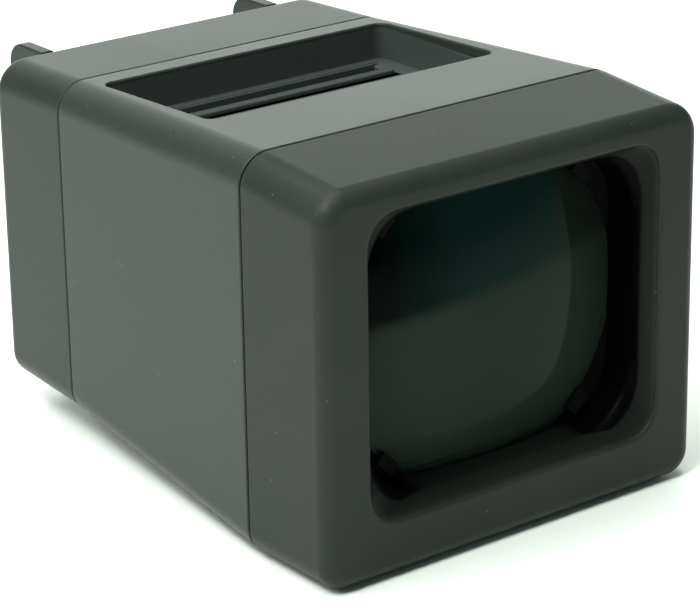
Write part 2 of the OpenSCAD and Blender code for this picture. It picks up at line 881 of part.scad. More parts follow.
// Pan-head screw whose head starts at y and whose shank points along dir
module screw(x, z, y, dir, length) {
    translate([x, y, z]) rotate([dir > 0 ? -90 : 90, 0, 0]) difference() {
        union() {
            cylinder(h = length, r = screw_r);
            translate([0, 0, -head_h]) cylinder(h = head_h, r = head_r);
        }
        for (a = [0, 90]) {
            rotate([0, 0, a]) translate([0, 0, -head_h]) cube([2.8, 0.5, 1.4], center = true);
        }
    }
}

module bezel_screws() {
    both_sides() for (z = front_screw_z) {
        color("#8c8f8c") screw(front_screw_x, z, seam1_y + front_gap / 2 + tab_t, -1, 11);
    }
}

module case_screws() {
    both_sides() for (z = rear_screw_z) {
        color("#8c8f8c") screw(rear_screw_x, z, rear_head_y, -1, 20);
    }
}

module board_screws() {
    both_sides() color("#8c8f8c")
        rod_y(board_screw_x, board_screw_z, 1, board_y - 4.5, board_y + board_t + 0.5);
    both_sides() color("#8c8f8c")
        rod_y(board_screw_x, board_screw_z, 1.9, board_y + board_t, board_y + board_t + 0.9);
}

module rubber_feet() {
    color("#151515") both_sides() {
        translate([front_foot_x, front_foot_y, 0]) cylinder(h = base_z + foot_sink, d = foot_d);
        translate([rear_foot_x, rear_foot_y, 0]) cylinder(h = pad_t, d = foot_d - 1);
    }
}

module wire_red() {
    color("#b02020") sweep(spline(red_route), wire_r);
}

module wire_black() {
    color("#181818") sweep(spline(black_route), wire_r);
}

module wire_white() {
    color("#d8d8d0") sweep(spline(white_route), wire_r);
}

front_bezel();
middle_body();
rear_cover();
lens();
lens_frame();
light_tunnel();
chassis();
slide_carrier();
contact_bridge();
mirror([1, 0, 0]) carrier_spring();  // carrier_spring_left
carrier_spring();  // carrier_spring_right
switch_base();
switch_contacts();
diffuser();
light_box();
led_board();
leds();
resistors();
battery_holder();
battery_1();
battery_2();
battery_3();
battery_contacts();
battery_springs();
battery_door();
door_hinge_pin();
bezel_screws();
case_screws();
board_screws();
rubber_feet();
wire_red();
wire_black();
wire_white();
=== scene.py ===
import json
import math

import bmesh
import bpy
from mathutils import Matrix, Vector


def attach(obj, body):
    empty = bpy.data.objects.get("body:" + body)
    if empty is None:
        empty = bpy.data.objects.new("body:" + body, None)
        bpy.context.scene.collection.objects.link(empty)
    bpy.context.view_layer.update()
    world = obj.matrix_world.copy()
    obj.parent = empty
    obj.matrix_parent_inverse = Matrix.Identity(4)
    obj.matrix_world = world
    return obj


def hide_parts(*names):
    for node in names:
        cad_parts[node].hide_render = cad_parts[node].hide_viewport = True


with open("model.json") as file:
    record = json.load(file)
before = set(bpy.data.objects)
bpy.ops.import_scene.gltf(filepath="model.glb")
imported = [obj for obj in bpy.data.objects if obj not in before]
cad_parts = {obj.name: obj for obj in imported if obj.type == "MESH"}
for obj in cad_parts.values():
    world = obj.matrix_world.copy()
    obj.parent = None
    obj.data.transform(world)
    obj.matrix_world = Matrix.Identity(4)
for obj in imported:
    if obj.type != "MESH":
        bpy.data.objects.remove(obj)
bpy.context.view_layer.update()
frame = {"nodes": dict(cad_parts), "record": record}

# Desktop viewer for mounted slides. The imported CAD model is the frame.
# The three shells, the lens and the door are rebuilt here as finer meshes.
# Every other node keeps its CAD mesh and gets a material.
# X runs to the right, Y from the front to the back, Z up.
# Sizes and places of the object are in millimetres; MM turns them to metres.
MM = 0.001

# ---------------------------------------------------------------- sizes
BEZEL_D, MID_D, REAR_D, FIN_REACH = 23.1, 63.2, 24.0, 10.8
FRONT_Y = -(BEZEL_D + MID_D + REAR_D + FIN_REACH) / 2
SEAM1_Y = FRONT_Y + BEZEL_D
SEAM2_Y = SEAM1_Y + MID_D
REAR_Y = SEAM2_Y + REAR_D
BACK_Y = REAR_Y + FIN_REACH
BASE_Z = 0.5  # lowest edge of the case above the floor
# Case outline at the front, the two seams and the rear, heights counted from BASE_Z
STATIONS = (FRONT_Y, SEAM1_Y, SEAM2_Y, REAR_Y)
CASE_WIDTHS = (85.6, 86.0, 78.4, 77.4)
CASE_TOPS = (72.4, 74.3, 71.8, 71.0)
CASE_BOTTOMS = (0, 0, 5.8, 6.9)
WALL = 2.0
FRONT_GAP, REAR_GAP = 0.4, 0.2
EDGE_R, LOW_EDGE_R, INNER_EDGE_R = 6.0, 5.0, 0.8
FRONT_EDGE_R, REAR_EDGE_R, SEAM_R = 3.2, 3.0, 0.35

AXIS_Z = BASE_Z + 38.9
WINDOW_W, WINDOW_H, WINDOW_R = 66.2, 56.6, 7.5
RIM_W, RIM_H, RIM_R = 61.4, 53.0, 15.0
BEVEL_D, LIP_R, HOOD_T = 5.2, 0.8, 1.8
NOSE_START, NOSE_LENGTH, NOSE_INSET = 0.6, 2.0, 1.2  # narrowed front of the bezel's hollow

LENS_D, LENS_W, LENS_H = 63.0, 61.0, 52.6
LENS_EDGE, LENS_Y = 2.0, FRONT_Y + 11.2
LENS_FRONT_R, LENS_BACK_R = 90.0, 150.0

RECESS_W, RECESS_R = 65.8, 2.2
RECESS_NEAR, RECESS_FAR = SEAM1_Y + 22.7, SEAM1_Y + 57.6
FLOOR_Z = BASE_Z + 64.9
TUB_T, TUB_DROP = 1.6, 1
SLOT_L, SLOT_W, SLOT_Y = 56.0, 4.8, SEAM1_Y + 51.4
SLOT_LIP_W, SLOT_LIP_H, SLOT_LIP_RADII = 2.2, 0.9, (0.3, 1.0)
REAR_RIB_W, REAR_RIB_H, REAR_RIB_RADII, REAR_RIB_EXTRA = 1.6, 0.5, (0.7, 0.2), 2
GROOVE_W, GROOVE_DEPTH = 0.9, 0.5

FIN_X, FIN_T, FIN_R, FIN_DROP = 26.8, 2.8, 4.3, 0.1
FOOT_X, FOOT_Y, FOOT_R, PAD_T = 18.0, REAR_Y - 9.75, 4.5, 0.8

DOOR_W, DOOR_GAP, KNUCKLE_R, KNUCKLE_GAP = 47.0, 0.3, 1.6, 10.0
DOOR_Z0, DOOR_Z1 = BASE_Z + 10.7, BASE_Z + 66.4
HINGE_Y, HINGE_Z = REAR_Y - KNUCKLE_R, DOOR_Z0 + KNUCKLE_R
LUG_T, LUG_FRONT, LUG_LOW, LUG_HIGH, LUG_SUNK = 2.6, 2.2, 3.0, 2.4, 0.8
PIN_R, PIN_FIT = 1.0, 0.1
SCOOP_R, SCOOP_DEPTH, SCOOP_HALF, SCOOP_DROP = 9.0, 0.9, 8, 5

SCREW_X, SCREW_ZS, HEAD_HOLE_R = 33.2, (BASE_Z + 15, BASE_Z + 63), 2.5
HEAD_HOLE_Y, TUBE_R, TUBE_START = REAR_Y - 15, 3.8, 2.4

OVER = 1.0  # a cutter reaches this far past what it cuts
OPENING_CUT, SLOT_CUT, DOOR_CUT = 20, 5, 6  # longer reaches of three cutters
JOIN, RIB_ROOT = 1, 0.5  # how far an added part reaches into what carries it
CASE_TURN, FIN_TURN, SMALL_TURN, WINDOW_TURN = 16, 14, 10, 28  # steps in a rounded corner
ROD_TURN, SCOOP_TURN = 48, 96  # sides of a cylinder
END_STEPS, LIP_STEPS, SLOPE_STEPS = 10, 6, 12  # steps in a rounded end or slope
WINDOW_POWER, SLOPE_POWER = 2.5, 0.8
RECESS_BEVEL, COVER_BEVEL, DOOR_BEVEL = 0.4, 0.35, 0.3


# ---------------------------------------------------------------- sections
def at_stations(y, values):
    """Straight-line value at depth y through the values at the stations."""
    knots = list(zip(STATIONS, values))
    if y <= knots[0][0]:
        return knots[0][1]
    for (y0, v0), (y1, v1) in zip(knots, knots[1:]):
        if y <= y1:
            return v0 + (v1 - v0) * (y - y0) / (y1 - y0)
    return knots[-1][1]


def case_width(y):
    return at_stations(y, CASE_WIDTHS)


def case_top(y):
    return BASE_Z + at_stations(y, CASE_TOPS)


def case_bottom(y):
    return BASE_Z + at_stations(y, CASE_BOTTOMS)


def section_at(y, inset):
    """(depth, width, bottom, top, upper radius, lower radius) of the case, shrunk by inset."""
    return (
        y,
        case_width(y) - 2 * inset,
        case_bottom(y) + inset,
        case_top(y) - inset,
        max(EDGE_R - inset, INNER_EDGE_R),
        max(LOW_EDGE_R - inset, INNER_EDGE_R),
    )


def quarter(steps=4):
    """Angles of a quarter turn in equal steps."""
    return [math.radians(90 * i / steps) for i in range(steps + 1)]


def near_end(y, r, steps=4):
    """Case sections of an end that faces the front at depth y, its edge rounded."""
    return [section_at(y + r * (1 - math.cos(a)), r * (1 - math.sin(a))) for a in quarter(steps)]


def far_end(y, r, steps=4):
    """Case sections of an end that faces the back at depth y, its edge rounded."""
    return [section_at(y - r * (1 - math.sin(a)), r * (1 - math.cos(a))) for a in quarter(steps)]


def window_at(y, w, h, r):
    """Section of the window opening, in the form that section_at gives."""
    return (y, w, AXIS_Z - h / 2, AXIS_Z + h / 2, r, r)


def sides(x):
    return (x, -x)


# ---------------------------------------------------------------- mesh helpers
MERGE = 0.002 * MM
FLAT_ANGLE, SHARP_ANGLE, LENS_SHARP_ANGLE = math.radians(0.3), math.radians(32), math.radians(30)
BEVEL_SEGMENTS = 3


def link(name, bm):
    """New object from a bmesh in millimetres, scaled to metres."""
    bmesh.ops.recalc_face_normals(bm, faces=bm.faces)
    bmesh.ops.scale(bm, vec=(MM, MM, MM), verts=bm.verts)
    mesh = bpy.data.meshes.new(name)
    bm.to_mesh(mesh)
    bm.free()
    obj = bpy.data.objects.new(name, mesh)
    bpy.context.scene.collection.objects.link(obj)
    return obj


def corner(x, z, r, start, n, power=2.0):
    """Quarter turn round (x, z); a power above 2 eases it into the straight sides."""
    points = []
    turn = math.radians(start)
    for a in quarter(n):
        u, v = math.cos(a) ** (2 / power), math.sin(a) ** (2 / power)
        points.append(
            (
                x + r * (u * math.cos(turn) - v * math.sin(turn)),
                z + r * (u * math.sin(turn) + v * math.cos(turn)),
            )
        )
    return points


def outline(w, z0, z1, rt, rb, n, power=2.0):
    """Rounded rectangle as (x, z) points, anticlockwise from the lower right corner."""
    return (
        corner(w / 2 - rb, z0 + rb, rb, -90, n, power)
        + corner(w / 2 - rt, z1 - rt, rt, 0, n, power)
        + corner(rt - w / 2, z1 - rt, rt, 90, n, power)
        + corner(rb - w / 2, z0 + rb, rb, 180, n, power)
    )


def loft(name, sections, n=14, power=2.0):
    """Closed solid through a list of sections, front to back."""
    bm = bmesh.new()
    rings = []
    for y, *shape in sections:
        rings.append([bm.verts.new((x, y, z)) for x, z in outline(*shape, n, power)])
    count = len(rings[0])
    for near, far in zip(rings, rings[1:]):
        for i in range(count):
            j = (i + 1) % count
            bm.faces.new((near[i], near[j], far[j], far[i]))
    bm.faces.new(rings[0])
    bm.faces.new(rings[-1])
    return link(name, bm)


def block(name, low, high):
    """Box between two opposite corners."""
    bm = bmesh.new()
    bmesh.ops.create_cube(bm, size=1)
    for v in bm.verts:
        v.co = Vector([(a + b) / 2 + c * (b - a) for a, b, c in zip(low, high, v.co)])
    return link(name, bm)


def prism(name, points, axis, start, end):
    """Solid from a flat outline: axis x takes (y, z) points, y (x, z) and z (x, y)."""
    bm = bmesh.new()
    place = {
        "x": lambda p, d: (d, p[0], p[1]),
        "y": lambda p, d: (p[0], d, p[1]),
        "z": lambda p, d: (p[0], p[1], d),
    }[axis]
    low = [bm.verts.new(place(p, start)) for p in points]
    high = [bm.verts.new(place(p, end)) for p in points]
    for i in range(len(points)):
        j = (i + 1) % len(points)
        bm.faces.new((low[i], low[j], high[j], high[i]))
    bm.faces.new(low)
    bm.faces.new(high)
    return link(name, bm)


def rod(name, centre, r, start, end, axis="y", n=ROD_TURN):
    """Cylinder along an axis; centre gives the two other coordinates."""
    turn = [2 * math.pi * i / n for i in range(n)]
    points = [(centre[0] + r * math.cos(a), centre[1] + r * math.sin(a)) for a in turn]
    return prism(name, points, axis, start, end)


def apply_all(obj):
    """Bakes an object's modifiers into its mesh."""
    graph = bpy.context.evaluated_depsgraph_get()
    mesh = bpy.data.meshes.new_from_object(obj.evaluated_get(graph))
    old = obj.data
    obj.modifiers.clear()
    obj.data = mesh
    bpy.data.meshes.remove(old)


def combine(obj, other, operation):
    """Cuts other from obj or adds it to obj, then removes other."""
    mod = obj.modifiers.new("combine", "BOOLEAN")
    mod.operation = operation
    mod.solver = "EXACT"
    mod.object = other
    apply_all(obj)
    mesh = other.data
    bpy.data.objects.remove(other)
    bpy.data.meshes.remove(mesh)


def cut(obj, *others):
    for other in others:
        combine(obj, other, "DIFFERENCE")


def add(obj, *others):
    for other in others:
        combine(obj, other, "UNION")


def clean(bm):
    """Merges points that meet and drops faces without area."""
    bmesh.ops.remove_doubles(bm, verts=bm.verts, dist=MERGE)
    bmesh.ops.dissolve_degenerate(bm, edges=bm.edges, dist=MERGE)


def soften(obj, width=0.0, choose=None):
    """Shades the piece smoothly and rounds the outer edges whose middles choose picks."""
    mesh = obj.data
    bm = bmesh.new()
    bm.from_mesh(mesh)
    clean(bm)
    bmesh.ops.dissolve_limit(bm, angle_limit=FLAT_ANGLE, verts=bm.verts, edges=bm.edges)
    weight = bm.edges.layers.float.new("bevel_weight_edge")
    for edge in bm.edges:
        if choose is None or len(edge.link_faces) != 2 or not edge.is_convex:
            continue
        middle = (edge.verts[0].co + edge.verts[1].co) / 2 / MM
        if edge.calc_face_angle(0) > SHARP_ANGLE and choose(middle):
            edge[weight] = 1.0
    bm.to_mesh(mesh)
    bm.free()
    for face in mesh.polygons:
        face.use_smooth = True
    mesh.set_sharp_from_angle(angle=SHARP_ANGLE)
    if choose is not None:
        bevel = obj.modifiers.new("edges", "BEVEL")
        bevel.width = width * MM
        bevel.segments = BEVEL_SEGMENTS
        bevel.limit_method = "WEIGHT"
        bevel.harden_normals = True
        bevel.use_clamp_overlap = False
        bevel.miter_outer = "MITER_ARC"
    obj.modifiers.new("normals", "WEIGHTED_NORMAL").keep_sharp = True
    apply_all(obj)


# ---------------------------------------------------------------- materials
CLOUD_STOPS = (0.3, 0.7)  # where a noise turns from the darker to the lighter tone
FLOW_SCALE, FLOW_DETAIL, FLOW_ROUGHNESS = 28.0, 5.0, 0.6
GRAIN_MM, GRAIN_DETAIL, GRAIN_STRENGTH, GRAIN_BUMP, PIT_SHARE = 0.3, 2.0, 0.3, 0.06, 0.7
SMOOTHER, ROUGHER = 0.05, 0.06
# Light specks, partly dust and partly painted glints: spacing, radius, solid core, colour
DUST_GLINT_GAP, DUST_GLINT_R, DUST_GLINT_CORE, DUST_GLINT_COLOUR = 5.0, 0.13, 0.6, (0.22, 0.23, 0.21)
SMALL_CLOUD_SCALE, SMALL_CLOUD_DETAIL, SMALL_GRAIN_MM, SMALL_BUMP = 160.0, 4.0, 0.6, 0.05
LENS_LOOK = {
    "Transmission Weight": 0.6,
    "Specular IOR Level": 0.3,
    "Roughness": 0.03,
    "IOR": 1.11,
}
# Painted reflection of the room on the lens: two tones from its left edge to its right, parted by a
# tilted soft line, the painted horizon
LENS_PAINTED_LOWER_REFLECTION = [(0.0, (0.062, 0.084, 0.065)), (0.45, (0.043, 0.060, 0.046))]
LENS_PAINTED_UPPER_REFLECTION = [
    (0.12, (0.001, 0.004, 0.003)),
    (0.40, (0.010, 0.040, 0.035)),
    (0.74, (0.011, 0.040, 0.034)),
    (0.77, (0.022, 0.030, 0.023)),
]
PAINTED_HORIZON_Z, PAINTED_HORIZON_BELOW, PAINTED_HORIZON_ABOVE, PAINTED_HORIZON_TILT = AXIS_Z + 6.5, 1, 1.5, 0.12


def new_material(name, build):
    mat = bpy.data.materials.new(name)
    mat.use_nodes = True
    tree = mat.node_tree
    build(tree, tree.nodes["Principled BSDF"])
    return mat


def node(tree, kind, **values):
    """New node; in_ values go to its sockets and the others to the node itself."""
    made = tree.nodes.new(kind)
    for key, value in values.items():
        if key.startswith("in_"):
            made.inputs[key[3:].replace("_", " ")].default_value = value
        else:
            setattr(made, key, value)
    return made


def ramp(tree, stops):
    """Colour ramp through (place, colour) stops."""
    made = tree.nodes.new("ShaderNodeValToRGB")
    for _ in range(len(stops) - 2):
        made.color_ramp.elements.new(0.5)
    for element, (place, colour) in zip(made.color_ramp.elements, stops):
        element.position = place
        element.color = (*colour, 1)
    return made


def spread(tree, value, start, end):
    """Number that goes from end[0] to end[1] as value goes from start[0] to start[1]."""
    made = node(tree, "ShaderNodeMapRange")
    made.inputs["From Min"].default_value, made.inputs["From Max"].default_value = start
    made.inputs["To Min"].default_value, made.inputs["To Max"].default_value = end
    tree.links.new(value, made.inputs["Value"])
    return made.outputs["Result"]


def tinted(tree, value, stops):
    """Colour that a number picks from a ramp."""
    made = ramp(tree, stops)
    tree.links.new(value, made.inputs["Fac"])
    return made.outputs["Color"]


def texture(tree, where, kind, output, **values):
    """Noise or Voronoi value at a place."""
    made = node(tree, kind, **values)
    tree.links.new(where, made.inputs["Vector"])
    return made.outputs[output]


def bump(tree, shader, height, strength, distance):
    """Surface relief, distance in millimetres."""
    made = node(tree, "ShaderNodeBump", in_Strength=strength, in_Distance=distance * MM)
    tree.links.new(height, made.inputs["Height"])
    tree.links.new(made.outputs["Normal"], shader.inputs["Normal"])


def within(tree, where, low, high, fade):
    """Mask that grows from 0 at the faces of a box (mm) to 1 at fade mm inside it."""
    centre = [(a + b) / 2 * MM for a, b in zip(low, high)]
    half = [(b - a) / 2 * MM for a, b in zip(low, high)]
    vector = where
    for operation, other in (("SUBTRACT", centre), ("ABSOLUTE", None), ("SUBTRACT", half)):
        step = node(tree, "ShaderNodeVectorMath", operation=operation)
        tree.links.new(vector, step.inputs[0])
        if other:
            step.inputs[1].default_value = other
        vector = step.outputs[0]
    split = node(tree, "ShaderNodeSeparateXYZ")
    tree.links.new(vector, split.inputs[0])
    outside = split.outputs[0]
    for part in (1, 2):
        larger = node(tree, "ShaderNodeMath", operation="MAXIMUM")
        tree.links.new(outside, larger.inputs[0])
        tree.links.new(split.outputs[part], larger.inputs[1])
        outside = larger.outputs[0]
    return spread(tree, outside, (0.0, -fade * MM), (0.0, 1.0))


def blend(tree, factor, first, second):
    """Colour between first and second, which are colours or colour sockets."""
    mix = node(tree, "ShaderNodeMix", data_type="RGBA")
    tree.links.new(factor, mix.inputs["Factor"])
    for socket, value in ((mix.inputs[6], first), (mix.inputs[7], second)):
        if isinstance(value, tuple):
            socket.default_value = (*value, 1)
        else:
            tree.links.new(value, socket)
    return mix.outputs[2]


def moulded(name, dark, light, rough, gloss=0.22, painted_light_zone=None):
    """Spark-textured moulded plastic: fine grain, faint flow marks and light specks, partly dust
    and partly painted glints.

    painted_light_zone is a box whose inside takes painted light and shade: a colour and gloss
    of its own, by the steps (share of fade, share of the painted tone).
    """

    def build(tree, shader):
        shader.inputs["Specular IOR Level"].default_value = gloss
        where = node(tree, "ShaderNodeTexCoord").outputs["Object"]
        cloud = texture(
            tree, where, "ShaderNodeTexNoise", "Fac",
            in_Scale=FLOW_SCALE, in_Detail=FLOW_DETAIL, in_Roughness=FLOW_ROUGHNESS,
        )
        tone = tinted(tree, cloud, list(zip(CLOUD_STOPS, (dark, light))))
        # Painted light and shade inside the box: its own colour, and its own gloss
        if painted_light_zone:
            inside = within(tree, where, painted_light_zone["low"], painted_light_zone["high"], painted_light_zone["fade"])
            painted_light_mask = tinted(tree, inside, [(place, (share,) * 3) for place, share in painted_light_zone["steps"]])
            tone = blend(tree, painted_light_mask, tone, painted_light_zone["colour"])
            level = spread(tree, painted_light_mask, (0.0, 1.0), (gloss, painted_light_zone["gloss"]))
            tree.links.new(level, shader.inputs["Specular IOR Level"])
        # Light specks: partly dust, partly painted glints
        specks = texture(
            tree, where, "ShaderNodeTexVoronoi", "Distance", in_Scale=1.0 / (DUST_GLINT_GAP * MM)
        )
        rim, core = DUST_GLINT_R / DUST_GLINT_GAP, DUST_GLINT_CORE * DUST_GLINT_R / DUST_GLINT_GAP
        tone = blend(tree, spread(tree, specks, (rim, core), (0.0, 1.0)), tone, DUST_GLINT_COLOUR)
        tree.links.new(tone, shader.inputs["Base Color"])
        fine = texture(
            tree, where, "ShaderNodeTexNoise", "Fac",
            in_Scale=1.0 / (GRAIN_MM * MM), in_Detail=GRAIN_DETAIL,
        )
        pits = texture(
            tree, where, "ShaderNodeTexVoronoi", "Distance", in_Scale=PIT_SHARE / (GRAIN_MM * MM)
        )
        relief = node(tree, "ShaderNodeMath", operation="ADD")
        tree.links.new(fine, relief.inputs[0])
        tree.links.new(pits, relief.inputs[1])
        bump(tree, shader, relief.outputs[0], GRAIN_STRENGTH, GRAIN_BUMP)
        roughness = spread(tree, cloud, (0.0, 1.0), (rough - SMOOTHER, rough + ROUGHER))
        tree.links.new(roughness, shader.inputs["Roughness"])

    return new_material(name, build)


def lens_material():
    """Dark acrylic with a painted reflection: the two tones of the room that it mirrors, painted
    into its colour.
    """

    def build(tree, shader):
        for socket, value in LENS_LOOK.items():
            shader.inputs[socket].default_value = value
        where = node(tree, "ShaderNodeTexCoord").outputs["Object"]
        split = node(tree, "ShaderNodeSeparateXYZ")
        tree.links.new(where, split.inputs[0])
        across = spread(
            tree, split.outputs["X"], (-LENS_W / 2 * MM, LENS_W / 2 * MM), (0.0, 1.0)
        )
        height = node(tree, "ShaderNodeMath", operation="MULTIPLY_ADD")
        tree.links.new(split.outputs["X"], height.inputs[0])
        height.inputs[1].default_value = -PAINTED_HORIZON_TILT
        tree.links.new(split.outputs["Z"], height.inputs[2])
        level = spread(
            tree,
            height.outputs[0],
            ((PAINTED_HORIZON_Z - PAINTED_HORIZON_BELOW) * MM, (PAINTED_HORIZON_Z + PAINTED_HORIZON_ABOVE) * MM),
            (0.0, 1.0),
        )
        # Painted reflection: the lower tone below the painted horizon, the upper tone above it
        tone = blend(
            tree, level, tinted(tree, across, LENS_PAINTED_LOWER_REFLECTION), tinted(tree, across, LENS_PAINTED_UPPER_REFLECTION)
        )
        tree.links.new(tone, shader.inputs["Base Color"])

    return new_material("lens acrylic painted reflection", build)


def plain(name, colour, rough, metal=0.0, grain=0.05, gloss=0.5, vary=0.13):
    """Small hard parts: colour with faint variation and a fine surface grain."""

    def build(tree, shader):
        shader.inputs["Metallic"].default_value = metal
        shader.inputs["Specular IOR Level"].default_value = gloss
        where = node(tree, "ShaderNodeTexCoord").outputs["Object"]
        cloud = texture(
            tree, where, "ShaderNodeTexNoise", "Fac",
            in_Scale=SMALL_CLOUD_SCALE, in_Detail=SMALL_CLOUD_DETAIL,
        )
        dark = [c * (1 - vary) for c in colour]
        light = [min(c * (1 + vary), 1) for c in colour]
        tone = tinted(tree, cloud, list(zip(CLOUD_STOPS, (dark, light))))
        tree.links.new(tone, shader.inputs["Base Color"])
        ends = (max(rough - vary / 2, 0.02), rough + vary / 2)
        tree.links.new(spread(tree, cloud, (0.0, 1.0), ends), shader.inputs["Roughness"])
        fine = texture(
            tree, where, "ShaderNodeTexNoise", "Fac",
            in_Scale=1.0 / (SMALL_GRAIN_MM * MM), in_Detail=GRAIN_DETAIL,
        )
        bump(tree, shader, fine, grain, SMALL_BUMP)

    return new_material(name, build)


def paint(obj, mat):
    obj.data.materials.clear()
    obj.data.materials.append(mat)


# ---------------------------------------------------------------- shells
def window_cutter():
    """The window from its rounded lip down its slope to the rim around the lens."""
    lip = [
        window_at(
            FRONT_Y + LIP_R * (1 - math.cos(a)),
            WINDOW_W + 2 * LIP_R * (1 - math.sin(a)),
            WINDOW_H + 2 * LIP_R * (1 - math.sin(a)),
            WINDOW_R + LIP_R * (1 - math.sin(a)),
        )
        for a in quarter(LIP_STEPS)
    ]
    slope = []
    for i in range(1, SLOPE_STEPS + 1):
        t = i / SLOPE_STEPS
        turn = t * t * (3 - 2 * t)
        fall = math.sin(math.pi / 2 * t) ** SLOPE_POWER
        slope.append(
            window_at(
                FRONT_Y + LIP_R + (BEVEL_D - LIP_R) * t,
                WINDOW_W + (RIM_W - WINDOW_W) * fall,
                WINDOW_H + (RIM_H - WINDOW_H) * fall,
                WINDOW_R + (RIM_R - WINDOW_R) * turn,
            )
        )
    mouth = window_at(
        FRONT_Y - OVER / 2, WINDOW_W + 2 * LIP_R, WINDOW_H + 2 * LIP_R, WINDOW_R + LIP_R
    )
    end = window_at(LENS_Y + OVER, RIM_W, RIM_H, RIM_R)
    return loft("window", [mouth] + lip + slope + [end], n=WINDOW_TURN, power=WINDOW_POWER)


def make_bezel():
    outer = loft(
        "bezel_shell",
        near_end(FRONT_Y, FRONT_EDGE_R, END_STEPS) + far_end(SEAM1_Y - FRONT_GAP / 2, SEAM_R),
        n=CASE_TURN,
    )
    nose_y = FRONT_Y + WALL + NOSE_START
    hollow = loft(
        "hollow",
        [
            section_at(nose_y, WALL + NOSE_INSET),
            section_at(nose_y + NOSE_LENGTH, WALL),
            section_at(SEAM1_Y + OVER, WALL),
        ],
    )
    grow = 2 * HOOD_T
    hood = loft(
        "hood",
        [
            window_at(FRONT_Y, WINDOW_W + grow, WINDOW_H + grow, WINDOW_R + HOOD_T),
            window_at(FRONT_Y + BEVEL_D, RIM_W + grow, RIM_H + grow, RIM_R + HOOD_T),
            window_at(LENS_Y, RIM_W + grow, RIM_H + grow, RIM_R + HOOD_T),
        ],
    )
    cut(hollow, hood)
    cut(outer, hollow, window_cutter())
    soften(outer)
    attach(outer, "case")
    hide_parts("front_bezel")
    return outer


def make_middle():
    y0 = SEAM1_Y + FRONT_GAP / 2
    y1 = SEAM2_Y - REAR_GAP / 2
    body = loft("body_shell", near_end(y0, SEAM_R) + far_end(y1, SEAM_R), n=CASE_TURN)
    cut(body, loft("hollow", [section_at(y0 - OVER, WALL), section_at(y1 + OVER, WALL)]))
    tub = block(
        "tub",
        (-RECESS_W / 2 - TUB_T, RECESS_NEAR - TUB_T, FLOOR_Z - TUB_T),
        (RECESS_W / 2 + TUB_T, RECESS_FAR + TUB_T, case_top(RECESS_FAR) - TUB_DROP),
    )
    add(body, tub)
    recess = outline(RECESS_W, RECESS_NEAR, RECESS_FAR, RECESS_R, RECESS_R, SMALL_TURN)
    cut(body, prism("opening", recess, "z", FLOOR_Z, FLOOR_Z + OPENING_CUT))
    front_y = SLOT_Y - SLOT_W / 2
    rear_y = SLOT_Y + SLOT_W / 2
    lip_y = front_y - SLOT_LIP_W
    slot = block(
        "slot",
        (-SLOT_L / 2, front_y, FLOOR_Z - SLOT_CUT),
        (SLOT_L / 2, rear_y, FLOOR_Z + SLOT_CUT),
    )
    groove = block(
        "groove",
        (-SLOT_L / 2, lip_y - GROOVE_W, FLOOR_Z - GROOVE_DEPTH),
        (SLOT_L / 2, lip_y, FLOOR_Z + OVER),
    )
    cut(body, slot, groove)
    root_z = FLOOR_Z - RIB_ROOT
    lip = outline(SLOT_L, lip_y, front_y, *SLOT_LIP_RADII, SMALL_TURN)
    add(body, prism("lip", lip, "z", root_z, FLOOR_Z + SLOT_LIP_H))
    rib_l = SLOT_L + REAR_RIB_EXTRA
    rib = outline(rib_l, rear_y, rear_y + REAR_RIB_W, *REAR_RIB_RADII, SMALL_TURN)
    add(body, prism("rib", rib, "z", root_z, FLOOR_Z + REAR_RIB_H))

    def at_recess(p):
        """Edges of the recess and the slot, but not the low uprights of the lip and rib."""
        reach, low, high = 0.5, 0.02, 0.46
        inside = (
            abs(p.x) < RECESS_W / 2 + reach
            and RECESS_NEAR - reach < p.y < RECESS_FAR + reach
            and p.z > FLOOR_Z - 0.1
        )
        upright = FLOOR_Z + low < p.z < FLOOR_Z + high
        return inside and not upright

    soften(body, RECESS_BEVEL, at_recess)
    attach(body, "case")
    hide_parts("middle_body")
    return body


def fin_outline():
    """Side view of a fin as (y, z) points, its two free corners rounded."""
    low, high = case_bottom(REAR_Y), case_top(REAR_Y) - FIN_DROP
    return (
        [(REAR_Y - JOIN, low)]
        + corner(BACK_Y - FIN_R, low + FIN_R, FIN_R, -90, FIN_TURN)
        + corner(BACK_Y - FIN_R, high - FIN_R, FIN_R, 0, FIN_TURN)
        + [(REAR_Y - JOIN, high)]
    )


